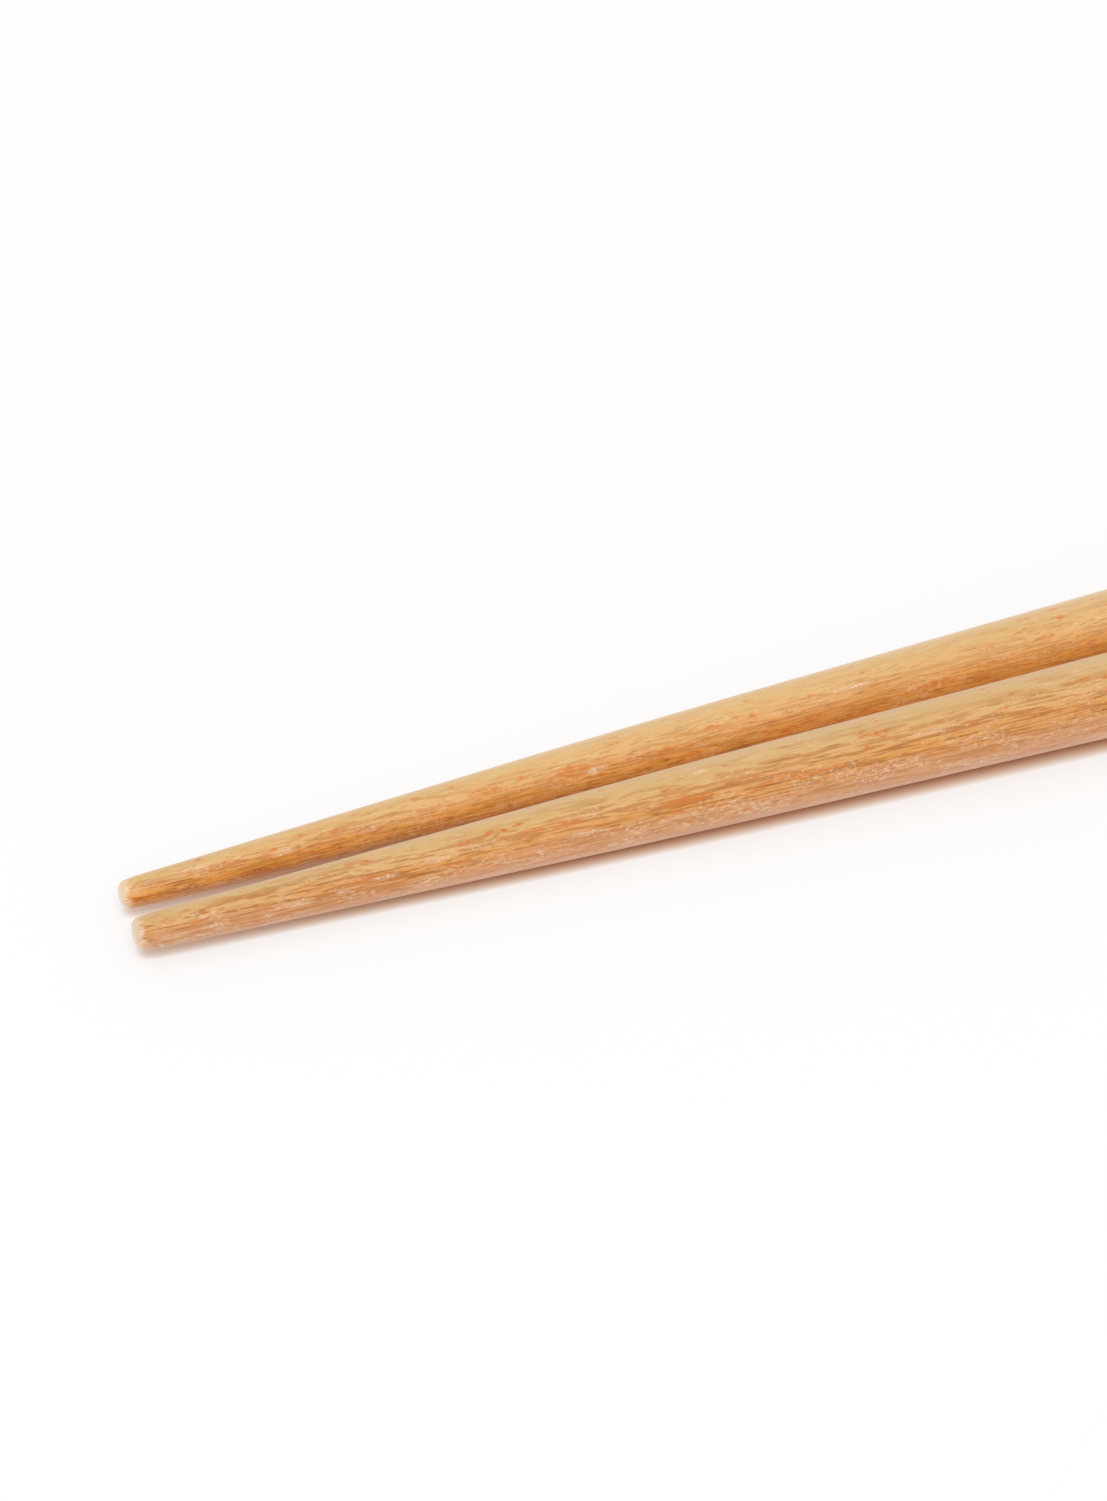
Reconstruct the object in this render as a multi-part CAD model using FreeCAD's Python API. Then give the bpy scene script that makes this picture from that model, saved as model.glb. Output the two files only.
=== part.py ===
import FreeCAD, Part
import math
import os

# A pair of turned wooden chopsticks, lying side by side as they come to rest.
#
# Each stick is one piece of wood, round all along, in three stages: a slim tip that opens out
# quickly, a long body that opens out slowly, and a straight handle. Soft transitions join the
# stages, so the outline is smooth and the stick bulges nowhere.
#
# A stick on a table lies on its long body taper, with the tip and the handle just clear of the
# table. Side by side, the two lie closest along the same taper, so both their tips and their
# handles stand a little further apart. The frame has +X from the tips to the heads, +Z up, and
# the table at Z = 0 under the middle of the pair.

# Driving dimensions, in millimetres.
STICK_LENGTH = 230.0
TIP_DIAMETER = 2.6
TIP_TAPER_LENGTH = 40.8      # from the tip to the neck, where the body taper takes over
NECK_DIAMETER = 5.12
HANDLE_DIAMETER = 8.8
HANDLE_LENGTH = 72.0         # straight part, up to the head
NECK_BLEND = 12.7            # how far the soft transition at the neck reaches each way
SHOULDER_BLEND = 5.0         # the same where the body meets the handle
TIP_RIM_RADIUS = 0.6
HEAD_RIM_RADIUS = 0.8
REAR_SLIMMER = 0.34          # how much less the rear stick measures across, all along
SIDE_CLEARANCE = 0.64        # between the two sticks where they lie closest
TIP_STAGGER = 0.28           # how much further the front stick reaches towards the tips

# The half angle of the cone that the body taper is part of.
body_length = STICK_LENGTH - TIP_TAPER_LENGTH - HANDLE_LENGTH
body_rise = (HANDLE_DIAMETER - NECK_DIAMETER) / 2
cone_half_angle = math.atan2(body_rise, body_length)

REAR = 1     # which side of the gap between the sticks, along Y
FRONT = -1


def rounded_outline(corners, reaches):
    """The edges of an open outline whose corners are eased by arcs tangent to both runs.

    Each reach is how far its corner's arc extends along the runs on either side.
    """
    edges = []
    start = corners[0]
    for before, corner, after, reach in zip(corners, corners[1:], corners[2:], reaches):
        back = (before - corner).normalize()
        ahead = (after - corner).normalize()
        turn = math.pi - back.getAngle(ahead)
        arc_start = corner + back * reach
        arc_middle = corner + (back + ahead).normalize() * reach * math.tan(turn / 4)
        arc_end = corner + ahead * reach
        edges.append(Part.LineSegment(start, arc_start).toShape())
        edges.append(Part.Arc(arc_start, arc_middle, arc_end).toShape())
        start = arc_end
    edges.append(Part.LineSegment(start, corners[-1]).toShape())
    return edges


def turned_stick(slimmer):
    """One stick along +X with the centre of its tip at the origin."""
    def point(along, diameter):
        return FreeCAD.Vector(along, 0, (diameter - slimmer) / 2)

    corners = [
        FreeCAD.Vector(0, 0, 0),
        point(0, TIP_DIAMETER),
        point(TIP_TAPER_LENGTH, NECK_DIAMETER),
        point(STICK_LENGTH - HANDLE_LENGTH, HANDLE_DIAMETER),
        point(STICK_LENGTH, HANDLE_DIAMETER),
        FreeCAD.Vector(STICK_LENGTH, 0, 0),
    ]
    reaches = [TIP_RIM_RADIUS, NECK_BLEND, SHOULDER_BLEND, HEAD_RIM_RADIUS]
    centre_line = Part.LineSegment(corners[-1], corners[0]).toShape()
    section = Part.Face(Part.Wire(rounded_outline(corners, reaches) + [centre_line]))
    return section.revolve(FreeCAD.Vector(0, 0, 0), FreeCAD.Vector(1, 0, 0), 360)


def laid_stick(side, stagger, slimmer):
    """A stick whose body taper lies on the table and along its side of the gap between the two.

    A cone rests on a plane along its whole length when its apex is on the plane and its axis
    leans away from it by the half angle. Here that holds for the table and for an upright plane.
    """
    lean = math.sin(cone_half_angle)
    axis = FreeCAD.Vector(math.sqrt(1 - 2 * lean ** 2), side * lean, lean)
    neck_radius = (NECK_DIAMETER - slimmer) / 2
    apex_along = TIP_TAPER_LENGTH - neck_radius / math.tan(cone_half_angle)
    apex = FreeCAD.Vector(apex_along - stagger, side * SIDE_CLEARANCE / 2, 0)
    stick = turned_stick(slimmer)
    turn = FreeCAD.Rotation(FreeCAD.Vector(1, 0, 0), axis)
    stick.Placement = FreeCAD.Placement(apex - axis * apex_along, turn)
    return stick


def centre_over_origin(sticks):
    """Slide the pair across the table until its box is centred on the origin."""
    box = Part.makeCompound(list(sticks.values())).optimalBoundingBox(False)
    shift = FreeCAD.Vector(-(box.XMin + box.XMax) / 2, -(box.YMin + box.YMax) / 2, 0)
    for stick in sticks.values():
        stick.translate(shift)


def save(sticks):
    os.makedirs("parts", exist_ok=True)
    for name, stick in sticks.items():
        stick.exportStep(f"parts/{name}.step")


pair = {
    "rear_chopstick": laid_stick(REAR, 0, REAR_SLIMMER),
    "front_chopstick": laid_stick(FRONT, TIP_STAGGER, 0),
}
centre_over_origin(pair)
save(pair)
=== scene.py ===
import math
from typing import NamedTuple

import bpy
from bpy.props import FloatProperty, FloatVectorProperty, IntProperty, PointerProperty
from mathutils import Matrix, Vector


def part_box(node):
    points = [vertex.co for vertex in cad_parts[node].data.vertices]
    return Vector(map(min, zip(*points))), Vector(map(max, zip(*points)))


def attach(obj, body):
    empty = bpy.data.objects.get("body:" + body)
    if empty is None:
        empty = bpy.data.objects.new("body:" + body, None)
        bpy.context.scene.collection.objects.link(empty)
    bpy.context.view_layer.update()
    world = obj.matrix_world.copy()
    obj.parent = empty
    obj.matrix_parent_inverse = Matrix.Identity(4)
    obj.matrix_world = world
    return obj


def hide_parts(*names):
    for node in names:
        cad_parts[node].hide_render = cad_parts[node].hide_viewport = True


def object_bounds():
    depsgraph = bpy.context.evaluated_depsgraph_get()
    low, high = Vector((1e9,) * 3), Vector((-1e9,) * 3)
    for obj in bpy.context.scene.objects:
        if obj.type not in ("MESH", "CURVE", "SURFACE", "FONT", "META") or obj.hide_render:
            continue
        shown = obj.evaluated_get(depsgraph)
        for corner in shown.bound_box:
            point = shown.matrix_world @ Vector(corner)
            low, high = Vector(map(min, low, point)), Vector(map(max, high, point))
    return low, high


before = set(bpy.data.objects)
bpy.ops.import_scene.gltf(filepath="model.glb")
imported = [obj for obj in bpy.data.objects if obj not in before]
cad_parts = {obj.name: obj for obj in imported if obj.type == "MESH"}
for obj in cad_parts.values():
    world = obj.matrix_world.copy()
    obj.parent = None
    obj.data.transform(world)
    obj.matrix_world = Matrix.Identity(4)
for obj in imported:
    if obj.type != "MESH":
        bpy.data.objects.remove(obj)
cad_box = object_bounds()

# A pair of turned wooden chopsticks on a pale floor.
#
# Each stick is an outline turned about its own axis by a Geometry Nodes lathe, which also presses
# the fibres of the wood into its surface and wears down the rim of its tip. The wood is a solid
# material: its growth rings, fibres and pores run along the stick. Its colour also holds painted
# light, fixed to turns round the stick: a lighter, yellower upper side, and a lighter side low
# towards the viewer, for light that the floor throws back and that lifts the shade between the
# sticks. The marks that use has left on the tips are placed one by one.
#
# Sizes are in metres, and those of wood grain and marks are in millimetres of the stick. A turn
# says which way round the stick something is, in degrees: 90 is the upper side, and 180 the side
# towards the viewer.

bl_info = {
    "name": "Wooden Chopsticks",
    "version": (1, 0, 0),
    "blender": (4, 5, 0),
    "location": "3D View > Sidebar > Chopsticks",
    "description": "Turns a pair of wooden chopsticks and sets them on a pale floor",
    "category": "Add Mesh",
}

MM = 0.001


class Stick(NamedTuple):
    """How one stick differs from the other."""
    side: int               # of the gap between the sticks, along Y
    seed: float             # of its grain
    brightness: float       # of its wood
    line_strength: float    # of its grain lines and pale fuzz
    painted_low_light: str         # painted light low on the side: floor bounce on the front stick, lifted shade in the gap on the rear
    low_lines: float        # share of the grain lines that are left there


# The sticks, by the CAD node that each stands for.
REAR = "rear_chopstick"
FRONT = "front_chopstick"
STICKS = {
    # The colour laid low on each stick's side is painted light: lifted shade in the gap on the rear,
    # floor bounce on the front.
    REAR: Stick(side=1, seed=11.0, brightness=1.0, line_strength=0.5,
                painted_low_light="painted_gap_light", low_lines=1.0),
    FRONT: Stick(side=-1, seed=4.0, brightness=0.92, line_strength=1.0,
                 painted_low_light="tan", low_lines=0.55),
}

# Inputs of the lathe, with their defaults.
LATHE_INPUTS = {
    "Sides": 160,
    "Inset": 0.015 * MM,
    "Fibre Depth": 0.015 * MM,
    "Fibre Length": 5.0 * MM,
    "Fibre Width": 0.4 * MM,
    "Wear Depth": 0.22 * MM,
    "Wear Reach": 1.6 * MM,
    "Wear Size": 0.7 * MM,
    "Seed": 0.0,
}
WELD_DISTANCE = 0.001 * MM    # closes the seam along the stick and the middles of its two ends
LEAST_ARC_STEPS = 8           # in the outline, for a rim's smallest arc

# The stick's own coordinates, kept on its mesh: along the axis from the tip, sideways and up.
GRAIN_ATTRIBUTE = "grain"


class Streaks(NamedTuple):
    """A pattern of noise that runs along the stick."""
    length: float
    width: float            # sideways
    depth: float            # up
    seed_step: int          # added to the stick's seed, so that no two patterns are alike
    detail: float
    roughness: float = 0.5
    low: float = 0.0        # where the noise starts to show
    high: float = 1.0       # where it shows in full


GROWTH_RINGS = Streaks(9.0, 0.9, 0.9, seed_step=1, detail=3.0)
GRAIN_LINES = Streaks(4.0, 0.5, 0.13, seed_step=2, detail=2.0, low=0.49, high=0.56)
PATCHES = Streaks(2.0, 0.5, 0.5, seed_step=3, detail=3.0, roughness=0.65, low=0.59, high=0.68)
PORES = Streaks(1.2, 0.13, 0.13, seed_step=4, detail=1.0, low=0.56, high=0.66)
THIN_FINISH = Streaks(4.0, 1.0, 1.0, seed_step=5, detail=3.0, low=0.42, high=0.62)
FIBRES = Streaks(1.6, 0.24, 0.16, seed_step=7, detail=3.0, roughness=0.65)
BREAKS = Streaks(0.5, 0.2, 0.2, seed_step=8, detail=1.0, low=0.36, high=0.60)
RAGGED_EDGE = Streaks(1.0, 0.2, 0.2, seed_step=9, detail=2.0)
FUZZ = Streaks(0.5, 0.25, 0.25, seed_step=10, detail=3.0, roughness=0.7, low=0.48, high=0.62)

PAINTED_TOP_LIGHT_TURN = 74         # where the painted light on the upper side, lighter and yellower, is strongest
PAINTED_LOW_LIGHT_TURN = 205          # where the painted light low on the side is strongest
GRAIN_TURN = 150        # where the grain lines are thickest, and thick again on the other side

FLECK_SIZE = (0.36, 0.17, 0.17)
FLECK_WARP = 0.1                    # how far the finer grain pulls the flecks out of shape
FIBRE_RIPPLE = (0.5, 1.0, 1.8)      # how much the fibres show in red, green and blue
PORE_DEPTH = 0.02 * MM

# Marks of wear: how far along the stick, the turn, and the length and width of the mark.
SCUFF = "scuff"      # pale, where the finish is gone
STAIN = "stain"      # reddish brown, soft
CRACK = "crack"      # dark and thin
MARKS = {
    REAR: [
        (SCUFF, 5.3, 108, 3.0, 0.4),
        (STAIN, 10.3, 178, 5.0, 0.5),
        (SCUFF, 12.0, 134, 1.8, 0.5),
        (STAIN, 16.5, 117, 1.6, 0.5),
        (SCUFF, 18.8, 137, 1.6, 0.4),
        (STAIN, 27.6, 120, 3.4, 0.5),
        (STAIN, 34.6, 127, 3.0, 1.0),
        (SCUFF, 36.2, 138, 2.4, 0.6),
        (STAIN, 42.0, 135, 1.4, 0.4),
        (SCUFF, 44.3, 143, 1.6, 0.3),
        (STAIN, 45.5, 119, 1.4, 0.4),
        (SCUFF, 56.5, 115, 3.8, 0.4),
        (STAIN, 63.0, 146, 4.0, 0.4),
        (STAIN, 72.0, 119, 2.2, 0.4),
    ],
    FRONT: [
        (SCUFF, 2.8, 166, 3.0, 0.5),
        (SCUFF, 5.6, 163, 2.4, 0.5),
        (SCUFF, 9.7, 170, 1.6, 0.5),
        (SCUFF, 12.0, 155, 2.8, 0.6),
        (STAIN, 17.6, 136, 3.4, 0.6),
        (SCUFF, 18.6, 141, 2.8, 0.4),
        (CRACK, 21.5, 154, 3.0, 0.15),
        (SCUFF, 22.4, 132, 2.4, 0.5),
        (STAIN, 27.2, 106, 2.2, 0.6),
        (STAIN, 31.2, 122, 6.0, 0.5),
        (SCUFF, 34.0, 150, 3.0, 0.5),
        (STAIN, 42.0, 136, 5.0, 0.5),
        (SCUFF, 43.2, 91, 1.2, 0.5),
        (CRACK, 48.0, 143, 5.5, 0.15),
        (CRACK, 49.0, 109, 3.4, 0.15),
        (STAIN, 50.0, 140, 8.0, 0.4),
        (CRACK, 53.2, 107, 1.5, 0.2),
        (CRACK, 56.0, 149, 3.5, 0.15),
        (STAIN, 57.0, 105, 4.2, 0.5),
        (SCUFF, 60.5, 124, 3.4, 0.4),
    ],
}


class StickSizes(bpy.types.PropertyGroup):
    stick_length: FloatProperty(
        name="Length", description="From the tip to the head",
        default=230.0 * MM, unit="LENGTH", precision=5)
    tip_diameter: FloatProperty(
        name="Tip Diameter", description="Across the blunt tip",
        default=2.6 * MM, unit="LENGTH", precision=5)
    tip_taper_length: FloatProperty(
        name="Tip Taper", description="From the tip to the neck, where the body taper takes over",
        default=40.8 * MM, unit="LENGTH", precision=5)
    neck_diameter: FloatProperty(
        name="Neck Diameter", description="Across the neck, before its transition is softened",
        default=5.12 * MM, unit="LENGTH", precision=5)
    handle_diameter: FloatProperty(
        name="Handle Diameter", description="Across the straight handle",
        default=8.8 * MM, unit="LENGTH", precision=5)
    handle_length: FloatProperty(
        name="Handle Length", description="Straight part, up to the head",
        default=72.0 * MM, unit="LENGTH", precision=5)
    neck_blend: FloatProperty(
        name="Neck Blend", description="How far the soft transition at the neck reaches each way",
        default=12.7 * MM, unit="LENGTH", precision=5)
    shoulder_blend: FloatProperty(
        name="Shoulder Blend", description="The same where the body meets the handle",
        default=5.0 * MM, unit="LENGTH", precision=5)
    rear_slimmer: FloatProperty(
        name="Rear Slimmer", description="How much less the rear stick measures across, all along",
        default=0.34 * MM, unit="LENGTH", precision=5)
    tip_rim: FloatProperty(
        name="Tip Rim", description="Radius of the eased rim round the tip",
        default=0.6 * MM, unit="LENGTH", precision=5)
    head_rim: FloatProperty(
        name="Head Rim", description="Radius of the eased rim round the head",
        default=0.8 * MM, unit="LENGTH", precision=5)
    ring_spacing: FloatProperty(
        name="Ring Spacing", description="Distance between the rings of the mesh along the stick",
        default=0.43 * MM, unit="LENGTH", precision=5)
    side_count: IntProperty(
        name="Sides", description="Number of mesh faces round the stick",
        default=LATHE_INPUTS["Sides"], min=12)


class WoodLook(bpy.types.PropertyGroup):
    gold: FloatVectorProperty(
        name="Gold", description="Main colour of the wood",
        subtype="COLOR", default=(0.72, 0.315, 0.066))
    # Painted light on the upper side: the wood drawn lighter and yellower where light from above
    # falls.
    painted_top_light: FloatVectorProperty(
        name="Painted Top Light", description="Yellowish wood on the upper side of the stick",
        subtype="COLOR", default=(0.72, 0.445, 0.17))
    # Painted light low on the rear stick's side, in the gap between the sticks: it lifts the shade
    # there.
    painted_gap_light: FloatVectorProperty(
        name="Painted Gap Light", description="Warm wood low on the side of the rear stick",
        subtype="COLOR", default=(0.88, 0.38, 0.065))
    # Painted light low on the front stick's side: the pinkish light that the floor throws back.
    tan: FloatVectorProperty(
        name="Tan", description="Pinkish wood low on the side of the front stick",
        subtype="COLOR", default=(0.68, 0.31, 0.13))
    amber: FloatVectorProperty(
        name="Amber", description="Grain lines, deeper in colour than the wood round them",
        subtype="COLOR", default=(0.50, 0.18, 0.022))
    russet: FloatVectorProperty(
        name="Russet", description="Reddish patches and stains",
        subtype="COLOR", default=(0.64, 0.18, 0.012))
    pore: FloatVectorProperty(
        name="Pore", description="Open pores and cracks",
        subtype="COLOR", default=(0.36, 0.10, 0.006))
    cream: FloatVectorProperty(
        name="Cream", description="Bare end grain, flecks and scuffs where the finish is gone",
        subtype="COLOR", default=(0.88, 0.65, 0.45))


class StageLook(bpy.types.PropertyGroup):
    target: FloatVectorProperty(
        name="Camera Target", description="Point on the floor in the middle of the picture",
        subtype="XYZ_LENGTH", default=(-79.57 * MM, 7.88 * MM, 0.0))
    distance: FloatProperty(
        name="Camera Distance", description="From the camera to its target",
        default=600.0 * MM, unit="LENGTH")
    turn: FloatProperty(
        name="Camera Turn", subtype="ANGLE", default=math.radians(-19.43),
        description="Turn of the camera about the upright, from looking along +Y")
    elevation: FloatProperty(
        name="Camera Elevation", description="Height of the camera above the horizon, as an angle",
        default=math.radians(43.88), subtype="ANGLE")
    picture_height: FloatProperty(
        name="Picture Height", description="Length at the target that fills the picture's height",
        default=111.2 * MM, unit="LENGTH")
    floor_size: FloatProperty(
        name="Floor Size", description="Length of each edge of the square floor",
        default=8.0, unit="LENGTH")
    floor_colour: FloatVectorProperty(
        name="Floor", description="Colour of the floor", subtype="COLOR",
        default=(0.93, 0.93, 0.93))
    floor_shown: FloatVectorProperty(
        name="Floor Shown", subtype="COLOR", default=(0.965, 0.965, 0.965),
        description="Colour that the camera sees where nothing shades the floor")
    glow_share: FloatProperty(
        name="Glow Share", description="Share of the floor's shown brightness that is its own",
        subtype="FACTOR", default=0.5, min=0.0, max=1.0)
    shade_colour: FloatVectorProperty(
        name="Shade", description="How soon the narrow shade by the sticks takes each colour away",
        subtype="XYZ", default=(0.47, 1.0, 1.42))
    shade_at_tips: FloatProperty(
        name="Shade at Tips", description="How far away the slim tips still shade the floor",
        default=0.85 * MM, unit="LENGTH", precision=5)
    shade_at_heads: FloatProperty(
        name="Shade at Heads", description="How far away the thick heads still shade the floor",
        default=1.9 * MM, unit="LENGTH", precision=5)
    sky_strength: FloatProperty(
        name="Sky", description="Strength of the even light from all round", default=0.78)
    lamp_strength: FloatProperty(
        name="Lamp", description="Power of the large soft lamp above and in front, in watts",
        default=7.0)
    lamp_size: FloatProperty(
        name="Lamp Size", description="Across the round lamp", default=1.0, unit="LENGTH")
    lamp_place: FloatVectorProperty(
        name="Lamp Place", description="Where the lamp hangs. It points at the origin",
        subtype="XYZ_LENGTH", default=(-0.3, -0.5, 1.2))


class Graph:
    """Adds nodes to one node tree and wires them up. Inputs are sockets or plain values."""

    def __init__(self, tree):
        self.tree = tree

    def node(self, kind, inputs=None, **settings):
        node = self.tree.nodes.new(kind)
        for name, value in settings.items():
            setattr(node, name, value)
        for name, value in (inputs or {}).items():
            self.feed(node.inputs[name], value)
        return node

    def feed(self, socket, value):
        if isinstance(value, bpy.types.NodeSocket):
            self.tree.links.new(value, socket)
        else:
            socket.default_value = value

    def through(self, kind, geometry, inputs=None, **settings):
        """The geometry that comes out of a node."""
        node = self.node(kind, {"Geometry": geometry, **(inputs or {})}, **settings)
        return node.outputs["Geometry"]

    def math(self, operation, *values, clamp=False):
        node = self.node("ShaderNodeMath", operation=operation, use_clamp=clamp)
        for socket, value in zip(node.inputs, values):
            self.feed(socket, value)
        return node.outputs["Value"]

    def add_share(self, base, share, value):
        """The base plus a share of the value."""
        return self.math("MULTIPLY_ADD", value, share, base)

    def vector_math(self, operation, *values):
        node = self.node("ShaderNodeVectorMath", operation=operation)
        for socket, value in zip(node.inputs, values):
            self.feed(socket, value)
        return node.outputs["Vector"]

    def scaled(self, vector, factor):
        node = self.node("ShaderNodeVectorMath", {0: vector, "Scale": factor}, operation="SCALE")
        return node.outputs["Vector"]

    def length(self, vector):
        node = self.node("ShaderNodeVectorMath", {0: vector}, operation="LENGTH")
        return node.outputs["Value"]

    def dot(self, vector, other):
        node = self.node("ShaderNodeVectorMath", {0: vector, 1: other}, operation="DOT_PRODUCT")
        return node.outputs["Value"]

    def combine(self, x, y, z):
        return self.node("ShaderNodeCombineXYZ", {"X": x, "Y": y, "Z": z}).outputs["Vector"]

    def separate(self, vector):
        return self.node("ShaderNodeSeparateXYZ", {"Vector": vector}).outputs

    def away_from_axis(self, place):
        """The direction straight out from the X axis at a place."""
        place = self.separate(place)
        return self.vector_math("NORMALIZE", self.combine(0.0, place["Y"], place["Z"]))

    def smooth_step(self, value, low, high):
        """0 below low and 1 above high, with a soft change between. High may be the lower one."""
        node = self.node(
            "ShaderNodeMapRange", {"Value": value, "From Min": low, "From Max": high},
            interpolation_type="SMOOTHSTEP")
        return node.outputs["Result"]

    def noise(self, vector, seed, detail=2.0, roughness=0.5):
        """Noise from 0 to 1, with its middle at 0.5. It has a new pattern for every seed."""
        inputs = {"Vector": vector, "W": seed, "Scale": 1.0, "Detail": detail,
                  "Roughness": roughness}
        return self.node("ShaderNodeTexNoise", inputs, noise_dimensions="4D").outputs["Fac"]

    def specks(self, vector, seed):
        """Scattered points: the distance to the nearest one, and a random value that it carries."""
        shifted = self.vector_math("ADD", vector, (seed, seed, seed))
        node = self.node("ShaderNodeTexVoronoi", {"Vector": shifted, "Scale": 1.0})
        return node.outputs["Distance"], self.separate(node.outputs["Color"])["X"]

    def mix_colours(self, factor, colour, other):
        node = self.node("ShaderNodeMix", data_type="RGBA")
        self.feed(node.inputs["Factor"], factor)
        self.feed(node.inputs[6], colour)
        self.feed(node.inputs[7], other)
        return node.outputs[2]


def opaque(colour):
    return (*colour, 1.0)


def divided(start, end, spacing):
    """Points of a straight run after its start, about the spacing apart."""
    count = max(1, round((end - start).length / spacing))
    return [start.lerp(end, step / count) for step in range(1, count + 1)]


def arc_points(corner, back, ahead, reach, spacing):
    """Points of the arc that leaves both runs at the reach from their corner."""
    turn = math.pi - back.angle(ahead)
    radius = reach / math.tan(turn / 2)
    inward = (back + ahead).normalized()
    centre = corner + inward * (radius / math.cos(turn / 2))
    first = (corner + back * reach) - centre
    count = max(LEAST_ARC_STEPS, round(radius * turn / spacing))
    way = math.copysign(turn, first.cross(ahead))
    spin = [Matrix.Rotation(way * step / count, 2) for step in range(1, count + 1)]
    return [centre + turned @ first for turned in spin]


def stick_outline(sizes, slimmer):
    """Half the section of a stick as (along, radius), from the middle of its tip to its head's."""
    def corner_at(along, diameter):
        return Vector((along, (diameter - slimmer) / 2))

    corners = [
        Vector((0, 0)),
        corner_at(0, sizes.tip_diameter),
        corner_at(sizes.tip_taper_length, sizes.neck_diameter),
        corner_at(sizes.stick_length - sizes.handle_length, sizes.handle_diameter),
        corner_at(sizes.stick_length, sizes.handle_diameter),
        Vector((sizes.stick_length, 0)),
    ]
    reaches = [sizes.tip_rim, sizes.neck_blend, sizes.shoulder_blend, sizes.head_rim]
    points = [corners[0]]
    for before, corner, after, reach in zip(corners, corners[1:], corners[2:], reaches):
        back = (before - corner).normalized()
        ahead = (after - corner).normalized()
        points += divided(points[-1], corner + back * reach, sizes.ring_spacing)
        points += arc_points(corner, back, ahead, reach, sizes.ring_spacing)
    return points + divided(points[-1], corners[-1], sizes.ring_spacing)


def turned_grid(graph, given, here):
    """A grid whose rows are the outline's vertices and whose columns go round the X axis."""
    outline = given["Geometry"]
    rows = graph.node("GeometryNodeAttributeDomainSize", {"Geometry": outline}, component="MESH")
    columns = graph.math("ADD", given["Sides"], 1)
    grid = graph.node(
        "GeometryNodeMeshGrid", {"Vertices X": rows.outputs["Point Count"], "Vertices Y": columns})

    index = graph.node("GeometryNodeInputIndex").outputs["Index"]
    row = graph.math("FLOOR", graph.math("DIVIDE", index, columns))
    column = graph.math("SUBTRACT", index, graph.math("MULTIPLY", row, columns))
    angle = graph.math("DIVIDE", graph.math("MULTIPLY", column, math.tau), given["Sides"])
    sample = graph.node(
        "GeometryNodeSampleIndex", {"Geometry": outline, "Value": here, "Index": row},
        data_type="FLOAT_VECTOR")
    point = graph.separate(sample.outputs["Value"])
    turned = graph.combine(
        point["X"],
        graph.math("MULTIPLY", point["Y"], graph.math("COSINE", angle)),
        graph.math("MULTIPLY", point["Y"], graph.math("SINE", angle)))
    return graph.through("GeometryNodeSetPosition", grid.outputs["Mesh"], {"Position": turned})


def sinking(graph, given, here):
    """How far and which way the surface sinks: by the inset, the fibres, and wear at the tip."""
    fibre_size = graph.combine(given["Fibre Length"], given["Fibre Width"], given["Fibre Width"])
    fibres = graph.noise(graph.vector_math("DIVIDE", here, fibre_size), given["Seed"])
    wear_size = graph.combine(*[given["Wear Size"]] * 3)
    wear = graph.noise(graph.vector_math("DIVIDE", here, wear_size), given["Seed"])
    from_tip = graph.separate(here)["X"]
    wear = graph.math("MULTIPLY", wear, graph.smooth_step(from_tip, given["Wear Reach"], 0.0))
    depth = graph.add_share(given["Inset"], given["Wear Depth"], wear)
    depth = graph.add_share(depth, given["Fibre Depth"], fibres)
    return graph.scaled(graph.away_from_axis(here), graph.math("MULTIPLY", depth, -1.0))


def lathe_tree():
    """Geometry Nodes that turn an outline, given as vertices in order, about the X axis.

    Each vertex keeps its own coordinates before the fibres and the wear of the tip's rim sink the
    surface. The inset keeps the piece within its solid's facets.
    """
    tree = bpy.data.node_groups.new("Stick Lathe", "GeometryNodeTree")
    add_socket = tree.interface.new_socket
    add_socket(name="Geometry", in_out="INPUT", socket_type="NodeSocketGeometry")
    for name, default in LATHE_INPUTS.items():
        kind = "NodeSocketInt" if isinstance(default, int) else "NodeSocketFloat"
        add_socket(name=name, in_out="INPUT", socket_type=kind).default_value = default
    add_socket(name="Material", in_out="INPUT", socket_type="NodeSocketMaterial")
    add_socket(name="Geometry", in_out="OUTPUT", socket_type="NodeSocketGeometry")

    graph = Graph(tree)
    given = graph.node("NodeGroupInput").outputs
    here = graph.node("GeometryNodeInputPosition").outputs["Position"]
    shape = turned_grid(graph, given, here)
    shape = graph.through(
        "GeometryNodeStoreNamedAttribute", shape, {"Name": GRAIN_ATTRIBUTE, "Value": here},
        data_type="FLOAT_VECTOR", domain="POINT")
    shape = graph.through(
        "GeometryNodeSetPosition", shape, {"Offset": sinking(graph, given, here)})
    shape = graph.through("GeometryNodeMergeByDistance", shape, {"Distance": WELD_DISTANCE})
    shape = graph.through("GeometryNodeSetShadeSmooth", shape)
    shape = graph.through("GeometryNodeRealizeInstances", shape)
    shape = graph.through("GeometryNodeSetMaterial", shape, {"Material": given["Material"]})
    graph.node("NodeGroupOutput", {"Geometry": shape})
    return tree


def turned_mesh(name, outline, tree, inputs):
    """The plain mesh that the lathe makes of an outline."""
    rough = bpy.data.meshes.new(name + " outline")
    rough.from_pydata([(*point, 0.0) for point in outline], [], [])
    blank = bpy.data.objects.new(name + " blank", rough)
    bpy.context.scene.collection.objects.link(blank)
    modifier = blank.modifiers.new("Lathe", "NODES")
    modifier.node_group = tree
    sockets = {item.name: item.identifier for item in tree.interface.items_tree
               if item.in_out == "INPUT"}
    for socket_name, value in inputs.items():
        modifier[sockets[socket_name]] = value
    depsgraph = bpy.context.evaluated_depsgraph_get()
    mesh = bpy.data.meshes.new_from_object(blank.evaluated_get(depsgraph), depsgraph=depsgraph)
    mesh.name = name
    bpy.data.objects.remove(blank)
    bpy.data.meshes.remove(rough)
    return mesh


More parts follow.
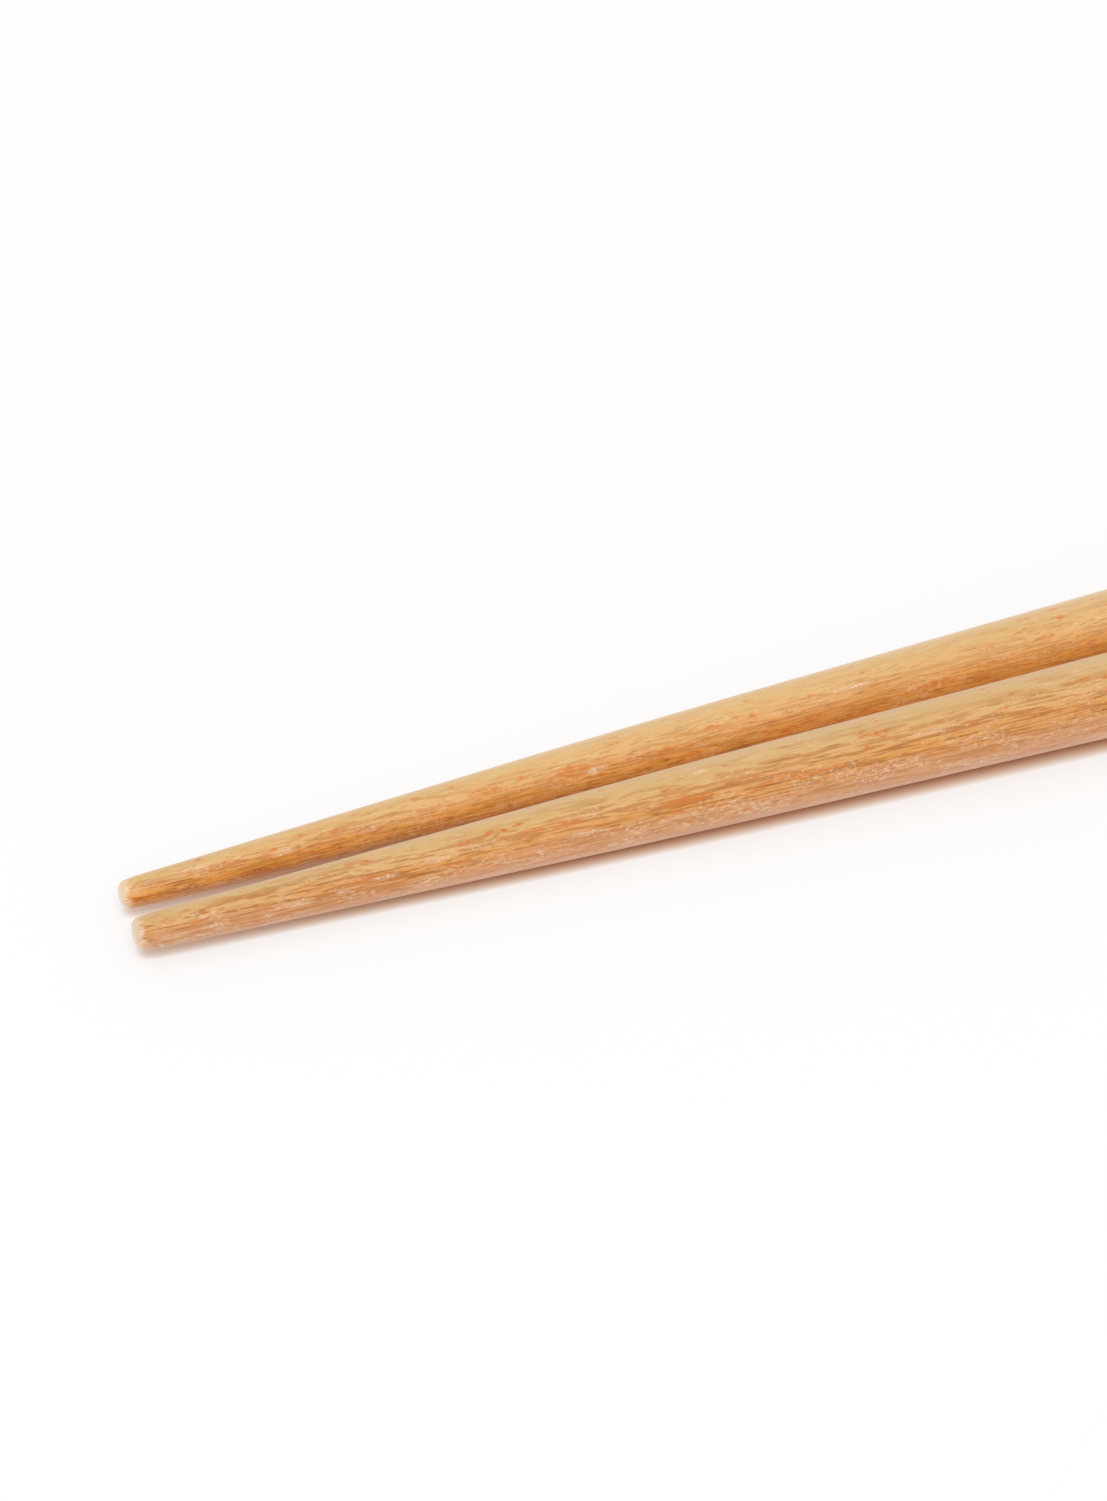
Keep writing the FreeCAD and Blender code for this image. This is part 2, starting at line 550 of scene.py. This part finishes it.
def lay_down(mesh, sizes, slimmer, node):
    """Lay a stick that lies along X where its CAD node lies.

    Its body taper is a cone. With the cone's point on the floor and on the plane between the
    sticks, and its axis leaning off both by the half angle, the taper touches both all along.
    """
    side = STICKS[node].side
    taper = sizes.stick_length - sizes.tip_taper_length - sizes.handle_length
    half_angle = math.atan2((sizes.handle_diameter - sizes.neck_diameter) / 2, taper)
    lean = math.sin(half_angle)
    axis = Vector((math.sqrt(1 - 2 * lean ** 2), side * lean, lean))
    neck_radius = (sizes.neck_diameter - slimmer) / 2
    apex_along = sizes.tip_taper_length - neck_radius / math.tan(half_angle)
    turn = Vector((1, 0, 0)).rotation_difference(axis).to_matrix().to_4x4()
    mesh.transform(Matrix.Translation(-axis * apex_along) @ turn)

    low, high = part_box(node)
    middle_x = (min(v.co.x for v in mesh.vertices) + max(v.co.x for v in mesh.vertices)) / 2
    inner_y = low.y if side > 0 else high.y
    mesh.transform(Matrix.Translation(((low.x + high.x) / 2 - middle_x, inner_y, 0)))


def radius_at(outline, along):
    """Radius of an outline some way along the stick."""
    before, after = next((a, b) for a, b in zip(outline, outline[1:]) if a.x <= along < b.x)
    return before.lerp(after, (along - before.x) / (after.x - before.x)).y


def facing(turn):
    """The direction out of the stick on the side that has this turn."""
    turn = math.radians(turn)
    return Vector((0.0, math.cos(turn), math.sin(turn)))


class Wood(Graph):
    """Open-pored wood of one stick, whose colour is laid on in layers; two of them are painted
    light.
    """

    def __init__(self, tree, look, node, outline):
        super().__init__(tree)
        self.look = look
        self.stick = STICKS[node]
        self.marks = MARKS[node]
        self.outline = outline
        kept = self.node("ShaderNodeAttribute", attribute_name=GRAIN_ATTRIBUTE)
        self.grain = self.scaled(kept.outputs["Vector"], 1 / MM)
        self.outwards = self.away_from_axis(self.grain)
        from_tip = self.separate(self.grain)["X"]
        from_head = self.math("SUBTRACT", outline[-1].x / MM, from_tip)
        self.to_end = self.math("MINIMUM", from_tip, from_head)
        self.worn = self.smooth_step(self.to_end, low=30.0, high=3.0)
        self.fibres = self.streaks(FIBRES)
        self.pores = self.shown(PORES)
        self.breaks = self.shown(BREAKS)

        self.colour = opaque(look.gold)
        self.lay_broad_tones()
        self.lay_grain_lines()
        self.lay_reddish_patches()
        self.lay_bare_ends()
        self.lay_pale_flecks()

    def streaks(self, pattern):
        """The noise of a pattern, from 0 to 1."""
        size = (pattern.length, pattern.width, pattern.depth)
        return self.noise(
            self.vector_math("DIVIDE", self.grain, size), self.stick.seed + pattern.seed_step,
            pattern.detail, pattern.roughness)

    def shown(self, pattern, more=0.0):
        """Where a pattern shows, from 0 to 1. With more, it shows more."""
        return self.smooth_step(
            self.math("ADD", self.streaks(pattern), more), pattern.low, pattern.high)

    def towards(self, turn):
        """From 1 on the side that has this turn to -1 on the opposite one."""
        return self.dot(self.outwards, facing(turn))

    def marked(self, chosen_kind):
        """Where the marks of one kind lie, from 0 to 1."""
        mask = 0.0
        for kind, along, turn, length, width in self.marks:
            if kind == chosen_kind:
                radius = radius_at(self.outline, along * MM) / MM
                middle = Vector((along, 0.0, 0.0)) + facing(turn) * radius
                offset = self.vector_math("SUBTRACT", self.grain, middle)
                offset = self.vector_math("DIVIDE", offset, (length / 2, width / 2, width / 2))
                spot = self.smooth_step(self.length(offset), low=1.2, high=0.4)
                mask = self.math("MAXIMUM", mask, spot)
        return mask

    def layer(self, colour, mask, strength=1.0):
        """Lay a colour on where the mask is."""
        factor = self.math("MULTIPLY", mask, strength, clamp=True)
        self.colour = self.mix_colours(factor, self.colour, opaque(colour))

    def lay_broad_tones(self):
        """Painted light over the gold in soft streaks: a lighter upper side, and a lighter side low
        down.
        """
        self.sway = self.add_share(-0.6, 1.2, self.streaks(GROWTH_RINGS))
        # Painted light: the upper side lighter and yellower where light from above falls on it.
        top_light_mask = self.add_share(self.towards(PAINTED_TOP_LIGHT_TURN), 0.3, self.sway)
        self.top_light_mask = self.smooth_step(top_light_mask, low=0.28, high=1.05)
        self.layer(self.look.painted_top_light, self.top_light_mask)
        # Painted light low on the side: floor bounce on the front stick, and on the rear one the
        # shade in the gap lifted.
        low_light_mask = self.add_share(self.sway, 0.22, self.worn)
        low_light_mask = self.math("ADD", self.towards(PAINTED_LOW_LIGHT_TURN), low_light_mask)
        self.low_light_mask = self.smooth_step(low_light_mask, low=0.40, high=0.90)
        self.layer(getattr(self.look, self.stick.painted_low_light), self.low_light_mask, strength=0.9)

    def lay_grain_lines(self):
        """Fine lines and short dark pores, most where the wood is busy."""
        busy = self.math("ADD", self.math("ABSOLUTE", self.towards(GRAIN_TURN)), self.sway)
        busy = self.smooth_step(busy, low=0.2, high=0.9)
        busy = self.add_share(busy, 0.4, self.worn)
        busy = self.math("MULTIPLY", busy, self.add_share(1.0, -0.5, self.top_light_mask))
        missing = 1.0 - self.stick.low_lines
        self.busy = self.math("MULTIPLY", busy, self.add_share(1.0, -missing, self.low_light_mask))
        self.layer(self.look.amber, self.shown(GRAIN_LINES),
                   strength=self.add_share(0.04, self.stick.line_strength, self.busy))
        self.layer(self.look.pore, self.pores, strength=self.add_share(0.06, 0.5, self.busy))

    def lay_reddish_patches(self):
        """Patches and stains, broken up by finer grain, and cracks."""
        more = self.math("MULTIPLY", self.marked(STAIN), 0.3)
        more = self.add_share(more, 0.05, self.busy)
        self.layer(self.look.russet, self.shown(PATCHES, more),
                   strength=self.add_share(0.25, 0.65, self.breaks))
        self.layer(self.look.pore, self.marked(CRACK), strength=0.7)

    def lay_bare_ends(self):
        """End grain at both ends, ragged where it meets the finish."""
        edge = self.add_share(-0.65, 2.0, self.streaks(RAGGED_EDGE))
        past_edge = self.math("SUBTRACT", self.to_end, edge)
        self.layer(self.look.cream, self.smooth_step(past_edge, low=0.5, high=-0.2), strength=0.85)

    def lay_pale_flecks(self):
        """Fuzz and flecks where the finish is thin, crowded together in the scuffs."""
        thin = self.shown(THIN_FINISH)
        # The pale fuzz is laid most on the painted low light and where the grain is busy.
        fuzz = self.math("MULTIPLY", self.shown(FUZZ), self.math("ADD", self.low_light_mask, self.busy))
        self.layer(self.look.cream, self.math("MULTIPLY", fuzz, thin),
                   strength=0.35 * self.stick.line_strength)

        scuffed = self.marked(SCUFF)
        self.layer(self.look.cream, scuffed, strength=0.25)
        share = self.math("MULTIPLY", thin, self.add_share(0.15, 0.12, self.busy))
        share = self.add_share(share, 0.4, scuffed)
        finer = self.combine(self.fibres, self.breaks, self.pores)
        warp = self.vector_math("SUBTRACT", finer, (0.5, 0.5, 0.2))
        warped = self.vector_math("ADD", self.grain, self.scaled(warp, FLECK_WARP))
        distance, chance = self.specks(
            self.vector_math("DIVIDE", warped, FLECK_SIZE), self.stick.seed)
        flecks = self.math("MULTIPLY", self.smooth_step(distance, low=0.55, high=0.2),
                           self.math("LESS_THAN", chance, share))
        self.layer(self.look.cream, flecks, strength=self.add_share(0.3, 0.5, scuffed))

    def surface(self):
        """The shader: fibres, warmer where they are darker, under a thin satin finish."""
        ripple = self.math("MULTIPLY", self.math("SUBTRACT", self.fibres, 0.5),
                           self.add_share(0.33, 0.25, self.busy))
        ripple = [self.add_share(1.0, share, ripple) for share in FIBRE_RIPPLE]
        colour = self.vector_math("MULTIPLY", self.colour, self.combine(*ripple))
        brightness = self.stick.brightness
        colour = self.scaled(colour, self.add_share(brightness, -0.03 * brightness, self.worn))
        height = self.math("SUBTRACT", self.math("MULTIPLY", self.fibres, 0.6), self.pores)
        bump = self.node(
            "ShaderNodeBump", {"Height": height, "Strength": 0.3, "Distance": PORE_DEPTH})
        finish = self.node("ShaderNodeBsdfPrincipled", {
            "Base Color": colour, "Roughness": 0.45, "IOR": 1.45, "Sheen Weight": 0.45,
            "Sheen Roughness": 0.5, "Normal": bump.outputs["Normal"]})
        return finish.outputs["BSDF"]


def new_material(name):
    """A material with no nodes yet."""
    material = bpy.data.materials.new(name)
    material.use_nodes = True
    material.node_tree.nodes.clear()
    return material


def wood_material(look, name, node, outline):
    material = new_material(name)
    wood = Wood(material.node_tree, look, node, outline)
    wood.node("ShaderNodeOutputMaterial", {"Surface": wood.surface()})
    return material


def narrow_shade(graph, stage):
    """The warm shade close to the sticks: 1 where there is none, for each colour.

    It reaches further by the thick heads than by the slim tips.
    """
    low, high = (Vector(corner) for corner in cad_box)
    place = graph.node("ShaderNodeTexCoord").outputs["Object"]
    reach = graph.node("ShaderNodeMapRange", {
        "Value": graph.separate(place)["X"], "From Min": low.x, "From Max": high.x,
        "To Min": stage.shade_at_tips, "To Max": stage.shade_at_heads}).outputs["Result"]
    nearness = graph.node("ShaderNodeAmbientOcclusion", {"Distance": reach}, samples=8)
    open_sky = nearness.outputs["AO"]
    return graph.combine(*[graph.math("POWER", open_sky, rate) for rate in stage.shade_colour])


def floor_material(stage):
    """A pale matt floor that shows as near white, with the sticks' shadow drawn in close to them.

    To the camera, and in reflections, part of its brightness is its own, so that the wide shadow
    of soft light is faint and the narrow shade where the sticks touch it stays.
    """
    material = new_material("pale floor")
    graph = Graph(material.node_tree)
    plain = graph.node("ShaderNodeBsdfDiffuse", {"Color": opaque(stage.floor_colour)})
    shade = narrow_shade(graph, stage)
    lit = graph.vector_math("MULTIPLY", shade, tuple(stage.floor_colour))
    lit = graph.node("ShaderNodeBsdfDiffuse", {"Color": lit})
    glow = graph.vector_math("MULTIPLY", shade, tuple(stage.floor_shown))
    glow = graph.node("ShaderNodeEmission", {"Color": glow})
    seen = graph.node("ShaderNodeMixShader", {
        "Fac": stage.glow_share, 1: lit.outputs["BSDF"], 2: glow.outputs["Emission"]})
    path = graph.node("ShaderNodeLightPath").outputs
    direct = graph.math("ADD", path["Is Camera Ray"], path["Is Glossy Ray"])
    direct = graph.math("ADD", direct, path["Is Transmission Ray"], clamp=True)
    surface = graph.node("ShaderNodeMixShader", {
        "Fac": direct, 1: plain.outputs["BSDF"], 2: seen.outputs["Shader"]})
    graph.node("ShaderNodeOutputMaterial", {"Surface": surface.outputs["Shader"]})
    return material


class CHOPSTICKS_OT_turn_sticks(bpy.types.Operator):
    """Turn both sticks on the lathe and lay them down side by side"""

    bl_idname = "chopsticks.turn_sticks"
    bl_label = "Turn Sticks"

    def execute(self, context):
        tree = lathe_tree()
        for node in STICKS:
            self.turn_stick(context, tree, node)
        return {"FINISHED"}

    def turn_stick(self, context, tree, node):
        sizes = context.scene.stick_sizes
        slimmer = sizes.rear_slimmer if node == REAR else 0.0
        outline = stick_outline(sizes, slimmer)
        place = node.removesuffix("_chopstick")
        finish = wood_material(context.scene.wood_look, place + " wood", node, outline)
        inputs = {"Sides": sizes.side_count, "Seed": STICKS[node].seed, "Material": finish}
        name = place + "_stick"
        mesh = turned_mesh(name, outline, tree, inputs)
        lay_down(mesh, sizes, slimmer, node)
        stick = bpy.data.objects.new(name, mesh)
        context.scene.collection.objects.link(stick)
        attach(stick, "root")
        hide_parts(node)


class CHOPSTICKS_OT_set_stage(bpy.types.Operator):
    """Lay the pale floor, light it softly and set the camera"""

    bl_idname = "chopsticks.set_stage"
    bl_label = "Set Stage"

    def execute(self, context):
        stage = context.scene.stage_look
        self.lay_floor(context, stage)
        self.light(context, stage)
        self.set_camera(context, stage)
        context.scene.view_settings.view_transform = "Standard"
        return {"FINISHED"}

    def lay_floor(self, context, stage):
        half = stage.floor_size / 2
        mesh = bpy.data.meshes.new("floor")
        corners = [(-half, -half, 0), (half, -half, 0), (half, half, 0), (-half, half, 0)]
        mesh.from_pydata(corners, [], [(0, 1, 2, 3)])
        mesh.materials.append(floor_material(stage))
        floor = bpy.data.objects.new("floor", mesh)
        context.scene.collection.objects.link(floor)

    def light(self, context, stage):
        world = bpy.data.worlds.new("soft sky")
        world.use_nodes = True
        background = world.node_tree.nodes["Background"]
        background.inputs["Color"].default_value = opaque((1.0, 1.0, 1.0))
        background.inputs["Strength"].default_value = stage.sky_strength
        context.scene.world = world
        lamp = bpy.data.lights.new("soft lamp", "AREA")
        lamp.shape = "DISK"
        lamp.size = stage.lamp_size
        lamp.energy = stage.lamp_strength
        place = bpy.data.objects.new("soft lamp", lamp)
        place.location = stage.lamp_place
        place.rotation_euler = (-place.location).to_track_quat("-Z", "Y").to_euler()
        place.visible_camera = False
        context.scene.collection.objects.link(place)

    def set_camera(self, context, stage):
        camera = bpy.data.cameras.new("camera")
        camera.sensor_width = 36.0
        camera.lens = camera.sensor_width * stage.distance / stage.picture_height
        camera.clip_start = 0.01
        camera.clip_end = 20.0
        place = bpy.data.objects.new("camera", camera)
        back = Vector((
            math.sin(stage.turn) * math.cos(stage.elevation),
            -math.cos(stage.turn) * math.cos(stage.elevation),
            math.sin(stage.elevation)))
        place.location = Vector(stage.target) + back * stage.distance
        place.rotation_euler = (-back).to_track_quat("-Z", "Y").to_euler()
        context.scene.collection.objects.link(place)
        context.scene.camera = place


class CHOPSTICKS_PT_panel(bpy.types.Panel):
    """Lists the sizes and colours, and the buttons that build the pair and its stage"""

    bl_idname = "CHOPSTICKS_PT_panel"
    bl_label = "Wooden Chopsticks"
    bl_space_type = "VIEW_3D"
    bl_region_type = "UI"
    bl_category = "Chopsticks"

    def draw(self, context):
        scene = context.scene
        for title, group in (("Sizes", scene.stick_sizes), ("Wood", scene.wood_look),
                             ("Stage", scene.stage_look)):
            box = self.layout.box()
            box.label(text=title)
            for name in group.__annotations__:
                box.prop(group, name)
        for operator in (CHOPSTICKS_OT_turn_sticks, CHOPSTICKS_OT_set_stage):
            self.layout.operator(operator.bl_idname)


CLASSES = (StickSizes, WoodLook, StageLook, CHOPSTICKS_OT_turn_sticks, CHOPSTICKS_OT_set_stage,
           CHOPSTICKS_PT_panel)


def register():
    for item in CLASSES:
        bpy.utils.register_class(item)
    bpy.types.Scene.stick_sizes = PointerProperty(type=StickSizes)
    bpy.types.Scene.wood_look = PointerProperty(type=WoodLook)
    bpy.types.Scene.stage_look = PointerProperty(type=StageLook)


def unregister():
    del bpy.types.Scene.stage_look
    del bpy.types.Scene.wood_look
    del bpy.types.Scene.stick_sizes
    for item in reversed(CLASSES):
        bpy.utils.unregister_class(item)


def main():
    register()
    bpy.ops.chopsticks.turn_sticks()
    bpy.ops.chopsticks.set_stage()


if __name__ == "__main__":
    main()
